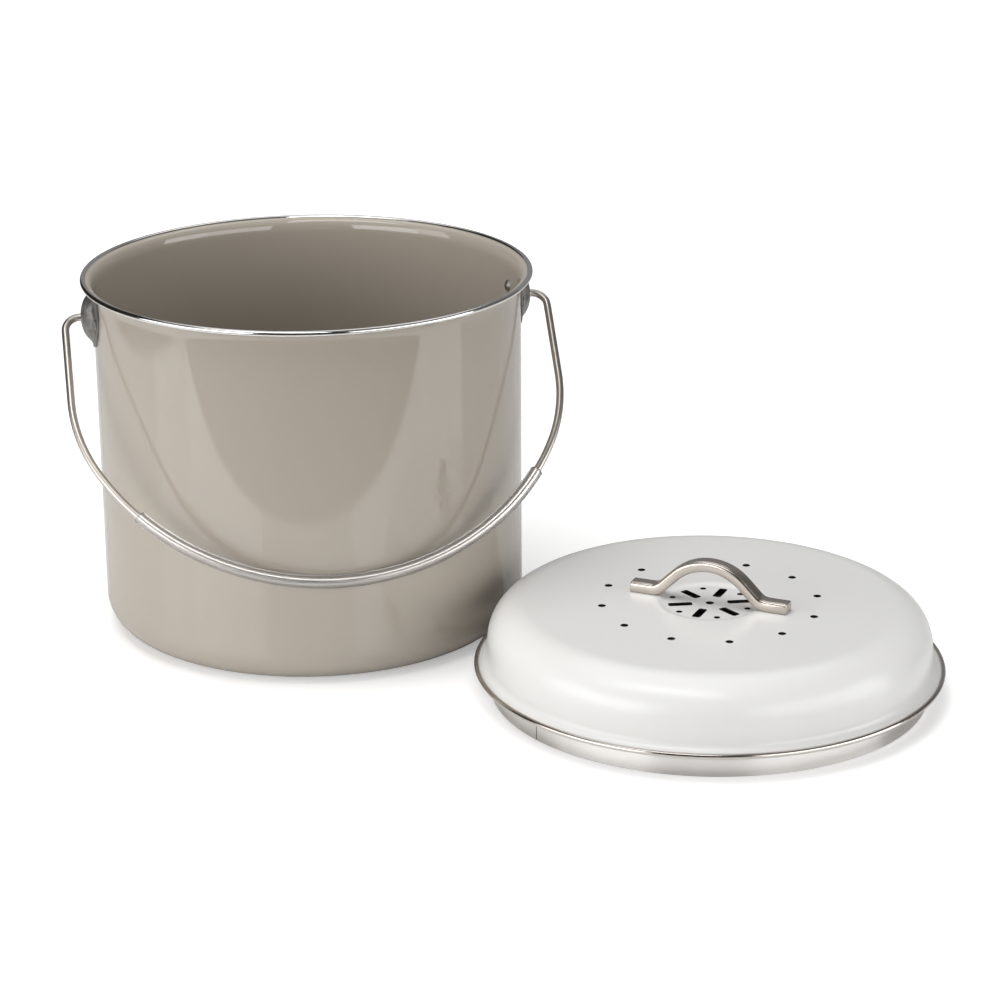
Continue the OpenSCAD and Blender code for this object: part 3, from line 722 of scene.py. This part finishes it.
def sinkCutter(cutter):
    # from its wide outline over the sheet, down through a rounded edge, and on through the sheet
    over, edge, steps = cutting["over"], cutting["edgeRound"], cutting["edgeSteps"]
    level = cutter.data.vertices[0].co.z - over * mm
    openEdit(cutter)
    extrudeBy(0, 0, -over)
    bpy.ops.mesh.select_all(action="SELECT")
    bpy.ops.mesh.normals_make_consistent(inside=False)
    pick("FACE", lambda f: all(abs(v.co.z - level) < sameLevel * mm for v in f.verts))
    turns = [math.radians(90 * i / steps) for i in range(steps + 1)]
    for low, high in zip(turns, turns[1:]):
        bpy.ops.mesh.inset(thickness=edge * (math.sin(high) - math.sin(low)) * mm,
                           depth=edge * (math.cos(low) - math.cos(high)) * mm)
    extrudeBy(0, 0, -cutting["deep"])
    bpy.ops.mesh.select_all(action="SELECT")
    bpy.ops.mesh.normals_make_consistent(inside=False)
    closeEdit()


def makeVentCutters():
    edge, over = cutting["edgeRound"], cutting["over"]
    dishFloor = lid["high"] - lid["dishDepth"]
    cutters = []

    def spreadOut(cutter, across, turns, turned=False):
        # sinks the cutter and leaves only its copies, one for each turn round the middle
        sinkCutter(cutter)
        for turn in turns:
            one = copyOf(cutter, "cutterCopy")
            angle = math.radians(turn)
            placeAt(one, (across * math.cos(angle), across * math.sin(angle), 0), (0, 0, turn if turned else 0))
            cutters.append(one)
        bpy.data.objects.remove(cutter)

    def roundCutter(radius, top, across, turns):
        cutter = startPiece("roundCutter", bpy.ops.mesh.primitive_circle_add, vertices=vents["sides"],
                            fill_type="NGON", radius=(radius + edge) * mm, location=(0, 0, (top + over) * mm))
        spreadOut(cutter, across, turns)

    count, slotCount = vents["outerCount"], vents["slots"]
    roundCutter(vents["outer"], lid["high"], vents["outerAt"], [i * 360 / count for i in range(count)])
    roundCutter(vents["inner"], dishFloor, vents["innerAt"], [i * 360 / slotCount for i in range(slotCount)])
    roundCutter(vents["centre"], dishFloor, 0, [0])
    roundCutter(vents["screw"], lid["high"], vents["screwAt"], [0, 180])
    slot = startPiece("slotCutter", bpy.ops.mesh.primitive_plane_add, size=1,
                      location=(0, 0, (dishFloor + over) * mm))
    slot.scale = ((vents["slotLong"] + 2 * edge) * mm, (vents["slotWide"] + 2 * edge) * mm, 1)
    applyPlace(slot)
    openEdit(slot)
    bpy.ops.mesh.bevel(offset=(vents["slotCorner"] + edge) * mm, segments=vents["cornerSteps"], affect="VERTICES")
    closeEdit()
    spreadOut(slot, vents["slotAt"], [(i + 0.5) * 360 / slotCount for i in range(slotCount)], turned=True)
    return joined(cutters, "ventCutters")


def makeLidShell():
    wall, shoulder, cove, top = lid["wall"], lid["shoulder"], lid["cove"], lid["high"]
    half = lid["sheet"] / 2
    middle = top - half
    dish, bend, depth = lid["dishAt"], lid["dishBend"], lid["dishDepth"]
    swing = math.acos(1 - depth / (2 * bend))
    reach, turn = bend * math.sin(swing), math.degrees(swing)
    steps = lid["dishSteps"]
    rings = [(lid["flangeOut"], lid["flangeTop"])]
    rings += arc((wall + cove, lid["flangeTop"] + cove), cove, 270, 180, lid["coveSteps"])
    rings += arc((wall - shoulder, top - shoulder), shoulder, 0, 90, lid["shoulderSteps"])
    rings += [(radius, top) for radius in (wall - shoulder - lid["holdOuter"], *lid["topRings"],
                                           dish + reach + lid["holdDish"])]
    rings += arc((dish + reach, middle - bend), bend + half, 90, 90 + turn, steps)
    rings += arc((dish - reach, middle - depth + bend), bend - half, turn - 90, -90, steps)[1:]
    rings += [(dish - reach - lid["holdFloor"], top - depth), (lid["middleRing"], top - depth)]
    shell = makeTurned("lidShell", lid["segments"], rings, endClosed=True)
    turnOutwards(shell)
    thicken(shell, lid["sheet"])
    cutters = makeVentCutters()
    finishWith(shell, "BOOLEAN", operation="DIFFERENCE", object=cutters, solver="EXACT")
    bpy.data.objects.remove(cutters)
    smoothOff(shell)
    finishWith(shell, "WEIGHTED_NORMAL", keep_sharp=True, weight=100)
    layDown(shell)
    handOver(shell, "lid", ["lid_shell"], lidEnamel)


skirt = {"radius": 112.4, "sheet": 0.6, "bendAt": 11.7, "bend": 1.5, "out": 119.6, "holdBend": 0.3,
         "bendSteps": 8, "inside": 25, "segments": 192}


def makeLidSkirt():
    rings = [(skirt["radius"], 0), (skirt["radius"], skirt["bendAt"] - skirt["holdBend"])]
    rings += arc((skirt["radius"] + skirt["bend"], skirt["bendAt"]), skirt["bend"], 180, 90, skirt["bendSteps"])
    rings += [(skirt["out"], skirt["bendAt"] + skirt["bend"])]
    wall = makeTurned("lidSkirt", skirt["segments"], rings)
    turnOutwards(wall, (0, 0, skirt["inside"]))
    thicken(wall, skirt["sheet"])
    smoothOff(wall, angle=50)
    layDown(wall)
    handOver(wall, "lid", ["lid_skirt"], steels["skirtSteel"])


strap = {"half": 42.3, "foot": 11.0, "wide": 8.6, "thick": 5.6, "edge": 1.9, "edgeSteps": 6, "lowEdge": 0.8,
         "lowEdgeSteps": 3, "cutEdge": 0.55, "footBend": 9.0, "footSteps": 12, "arch": 26.0, "archSteps": 18,
         "rise": 16.7}


def makeLidHandle():
    footX = strap["half"] - strap["foot"]
    bends = strap["arch"] + strap["footBend"]
    drop = strap["rise"] - bends
    flank = math.sqrt(footX ** 2 + drop ** 2 - bends ** 2)
    turn = math.atan2(drop, footX) + math.atan2(bends, flank)
    middle = lid["high"] + strap["thick"] / 2
    handle = startPiece("lidHandle", bpy.ops.mesh.primitive_plane_add, size=1, rotation=(0, math.pi / 2, 0))
    handle.scale = (1, strap["wide"] * mm, strap["thick"] * mm)
    placeAt(handle, (strap["half"], 0, middle))
    openEdit(handle)
    pick("VERT", lambda v: v.co.z > middle * mm)
    bpy.ops.mesh.bevel(offset=strap["edge"] * mm, segments=strap["edgeSteps"], affect="VERTICES")
    pick("VERT", lambda v: v.co.z < (middle - strap["thick"] / 2 + sameLevel) * mm)
    bpy.ops.mesh.bevel(offset=strap["lowEdge"] * mm, segments=strap["lowEdgeSteps"], affect="VERTICES")
    bpy.ops.mesh.select_all(action="SELECT")
    extrudeBy(-strap["foot"], 0, 0)
    spinAbout((footX, 0, middle + strap["footBend"]), (0, 1, 0), math.degrees(turn), strap["footSteps"])
    extrudeBy(-flank * math.cos(turn), 0, flank * math.sin(turn))
    spinAbout((0, 0, middle + strap["rise"] - strap["arch"]), (0, 1, 0), -math.degrees(turn), strap["archSteps"])
    bpy.ops.mesh.delete(type="ONLY_FACE")
    closeEdit()
    finishWith(handle, "MIRROR", use_axis=(True, False, False), merge_threshold=merging["mirrored"] * mm)
    turnOutwards(handle)
    softenEdges(handle, strap["cutEdge"], segments=4, angle=60)
    smoothOff(handle, angle=40)
    layDown(handle)
    handOver(handle, "lid", ["lid_handle"], steels["handleSteel"])


makePailShell()
rimPiece = makeRolledRing("pailRim", ring)
handOver(rimPiece, "pail", ["pail_rim"], steels["rimSteel"])
makeEars()
makeRivets()
print("pail ready")
makeBail()
print("bail ready")
makeLidShell()
lidRimPiece = makeRolledRing("lidRim", lidRing)
layDown(lidRimPiece)
handOver(lidRimPiece, "lid", ["lid_rim"], steels["lidRimSteel"])
makeLidSkirt()
makeLidHandle()
print("lid ready")

finishes = {"handle_screws": steels["fastenerSteel"], "handle_washers": steels["fastenerSteel"],
            "charcoal_filter": charcoalFelt, "filter_clip_1": steels["clipSteel"],
            "filter_clip_2": steels["clipSteel"], "filter_clip_3": steels["clipSteel"],
            "filter_clip_4": steels["clipSteel"]}  # these keep the shapes of the frame
for node, finish in finishes.items():
    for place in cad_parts[node].material_slots:
        place.material = finish

# the camera's place is in metres and its turns are in degrees
view = {"place": (-0.17467, -1.53254, 0.60570), "heading": -10.29, "tilt": 19.4747, "roll": -0.3087,
        "lens": 107.608, "sensor": 36}
sideways = Vector((math.cos(math.radians(view["heading"])), math.sin(math.radians(view["heading"])), 0))
away = Vector((-sideways.y, sideways.x, 0))


def makeCamera():
    clearSelection()
    bpy.ops.object.camera_add()
    camera = bpy.context.object
    camera.name = "photoCamera"
    turn = (Matrix.Rotation(math.radians(view["heading"]), 4, "Z")
            @ Matrix.Rotation(math.radians(90 - view["tilt"]), 4, "X")
            @ Matrix.Rotation(math.radians(view["roll"]), 4, "Z"))
    camera.matrix_world = Matrix.Translation(Vector(view["place"])) @ turn
    camera.data.lens = view["lens"]
    camera.data.sensor_width = view["sensor"]
    bpy.context.scene.camera = camera


stage = {"size": 14, "under": 0.0002, "table": (0.92, 0.92, 0.92, 1), "roughness": 0.12, "specular": 0.38,
         "beyond": (0.17, 0.16, 0.15, 1), "frontEdge": -0.36, "frontSoft": 0.02, "leftEdge": -0.65, "leftSoft": 0.04,
         "paper": (0.86, 0.86, 0.86, 1), "lift": 0.35, "farLift": 1.0, "clearOf": 0.55,
         "fill": 0.04, "mirrored": 0.18, "middle": (0.06, -0.06), "aimHeight": 0.12}


def makeFloor():
    clearSelection()
    bpy.ops.mesh.primitive_plane_add(size=stage["size"], location=(0, 0, -stage["under"]))
    floor = bpy.context.object
    floor.name = floor.data.name = "paperFloor"
    applyPlace(floor)
    material, tree, surface = newMaterial("paperTable")
    # the object meets a white table that ends in front and at the left; the camera sees white all over
    place = tree.nodes.new("ShaderNodeTexCoord").outputs["Object"]
    surface.inputs["Base Color"].default_value = stage["table"]
    surface.inputs["Roughness"].default_value = stage["roughness"]
    surface.inputs["Specular IOR Level"].default_value = stage["specular"]
    onTable = 1.0
    for direction, edge, soft in ((away, "frontEdge", "frontSoft"), (sideways, "leftEdge", "leftSoft")):
        reach = addNode(tree, "ShaderNodeVectorMath", {0: place, 1: direction}, operation="DOT_PRODUCT")
        steep = 1 / stage[soft]
        inside = mathNode(tree, "MULTIPLY_ADD", reach.outputs["Value"], steep, 0.5 - steep * stage[edge], clamp=True)
        onTable = mathNode(tree, "MULTIPLY", inside, onTable)
    dull = addNode(tree, "ShaderNodeBsdfDiffuse", {"Color": stage["beyond"]}).outputs[0]
    met = addNode(tree, "ShaderNodeMixShader", {0: onTable, 1: dull, 2: surface.outputs[0]}).outputs[0]
    paper = addNode(tree, "ShaderNodeBsdfDiffuse", {"Color": stage["paper"]}).outputs[0]
    reach = addNode(tree, "ShaderNodeVectorMath", {0: place}, operation="LENGTH").outputs["Value"]
    distant = mathNode(tree, "SUBTRACT", reach, stage["clearOf"], clamp=True)
    lift = mathNode(tree, "MULTIPLY_ADD", distant, stage["farLift"], stage["lift"])
    glow = addNode(tree, "ShaderNodeEmission", {"Color": (1, 1, 1, 1), "Strength": lift}).outputs[0]
    seen = addNode(tree, "ShaderNodeAddShader", {0: paper, 1: glow}).outputs[0]
    rays = tree.nodes.new("ShaderNodeLightPath").outputs
    out = addNode(tree, "ShaderNodeMixShader", {0: rays["Is Camera Ray"], 1: met, 2: seen}).outputs[0]
    feed(tree, tree.nodes["Material Output"].inputs, {"Surface": out})
    floor.data.materials.append(material)


def makeWorld():
    world = bpy.data.worlds.new("studio")
    bpy.context.scene.world = world
    world.use_nodes = True
    tree = world.node_tree
    tree.nodes.clear()
    rays = tree.nodes.new("ShaderNodeLightPath").outputs
    mirrored = mathNode(tree, "MAXIMUM", rays["Is Glossy Ray"], rays["Is Transmission Ray"])
    strength = mathNode(tree, "MULTIPLY_ADD", rays["Is Camera Ray"], 1 - stage["fill"], stage["fill"])
    strength = mathNode(tree, "MULTIPLY_ADD", mirrored, stage["mirrored"] - stage["fill"], strength)
    paint = addNode(tree, "ShaderNodeBackground", {"Color": (1, 1, 1, 1), "Strength": strength})
    out = tree.nodes.new("ShaderNodeOutputWorld")
    tree.links.new(paint.outputs[0], out.inputs["Surface"])


def standAt(azimuth, distance, height):
    # a place round the set, with azimuth 0 towards the camera and positive to its right
    angle = math.radians(azimuth)
    place = sideways * distance * math.sin(angle) - away * distance * math.cos(angle)
    return place + Vector((*stage["middle"], height))


def makeBoxLight(name, size, mirrored):
    clearSelection()
    bpy.ops.object.light_add(type="AREA", location=standAt(size["azimuth"], size["distance"], size["height"]))
    lamp = bpy.context.object
    lamp.name = name
    lamp.data.shape = "RECTANGLE"
    lamp.data.size, lamp.data.size_y = size["wide"], size["tall"]
    lamp.data.energy = size["watts"]
    lamp.visible_glossy = mirrored
    aim = Vector((*stage["middle"], stage["aimHeight"])) - lamp.location
    lamp.rotation_euler = aim.to_track_quat("-Z", "Y").to_euler()


def makeCard(name, look):
    # a dark or a bright card that only reflections see
    clearSelection()
    bpy.ops.mesh.primitive_plane_add(size=1)
    card = bpy.context.object
    card.name = card.data.name = name
    card.scale = (look["wide"], look["high"] - look["low"], 1)
    card.rotation_euler = (math.pi / 2, 0, math.radians(view["heading"] + look["azimuth"]))
    card.location = standAt(look["azimuth"], look["distance"], (look["low"] + look["high"]) / 2)
    applyPlace(card)
    material, tree = newMaterial(name + "Paint")[:2]
    glow = addNode(tree, "ShaderNodeEmission", {"Color": look["tone"], "Strength": 1.0}).outputs[0]
    feed(tree, tree.nodes["Material Output"].inputs, {"Surface": glow})
    card.data.materials.append(material)
    card.visible_camera = card.visible_diffuse = card.visible_shadow = card.visible_volume_scatter = False


boxes = {"frontLeft": {"azimuth": -46, "height": 0.42, "wide": 1.15, "tall": 0.8, "distance": 1.6, "watts": 10.0},
         "frontRight": {"azimuth": 41, "height": 0.42, "wide": 1.1, "tall": 0.8, "distance": 1.6, "watts": 7.0},
         "back": {"azimuth": 180, "height": 1.5, "wide": 1.6, "tall": 0.9, "distance": 0.7, "watts": 5.0}}
# these light the pieces without being mirrored in them
softened = {"top": {"azimuth": -60, "height": 1.9, "wide": 1.4, "tall": 1.4, "distance": 0.2, "watts": 22.5},
            "leftLow": {"azimuth": -78, "height": 0.42, "wide": 0.9, "tall": 0.8, "distance": 1.6, "watts": 7.5},
            "rightLow": {"azimuth": 75, "height": 0.42, "wide": 0.9, "tall": 0.8, "distance": 1.6, "watts": 6.3},
            "nearLeft": {"azimuth": -18, "height": 0.42, "wide": 0.9, "tall": 0.8, "distance": 1.6, "watts": 2.5},
            "leftTop": {"azimuth": -60, "height": 1.7, "wide": 1.2, "tall": 0.9, "distance": 0.9, "watts": 3.0}}
cards = {"gapCard": {"azimuth": 0, "distance": 1.75, "wide": 1.5, "low": 0.0, "high": 2.4,
                     "tone": (0.02, 0.018, 0.016, 1)},
         "topGlow": {"azimuth": -30, "distance": 0.75, "wide": 1.4, "low": 1.2, "high": 3.0,
                     "tone": (3.5, 3.5, 3.5, 1)},
         "leftGlow": {"azimuth": -76, "distance": 1.8, "wide": 0.62, "low": 0.0, "high": 1.1,
                      "tone": (2.1, 2.1, 2.1, 1)},
         "rightGlow": {"azimuth": 76, "distance": 1.8, "wide": 1.0, "low": 0.0, "high": 0.9,
                       "tone": (3.2, 3.2, 3.2, 1)},
         "leftCard": {"azimuth": -126, "distance": 1.9, "wide": 3.4, "low": 0.0, "high": 2.4,
                      "tone": (0.02, 0.018, 0.016, 1)},
         "rightCard": {"azimuth": 105, "distance": 1.9, "wide": 2.2, "low": 0.0, "high": 2.4,
                       "tone": (0.13, 0.125, 0.12, 1)},
         "backCard": {"azimuth": 180, "distance": 1.9, "wide": 3.6, "low": 0.0, "high": 2.4,
                      "tone": (0.25, 0.25, 0.255, 1)}}
makeCamera()
makeFloor()
makeWorld()
for name, size in boxes.items():
    makeBoxLight(name + "Box", size, mirrored=True)
for name, size in softened.items():
    makeBoxLight(name + "Box", size, mirrored=False)
for name, look in cards.items():
    makeCard(name, look)
bpy.context.scene.view_settings.view_transform = "Standard"
print("stage ready")
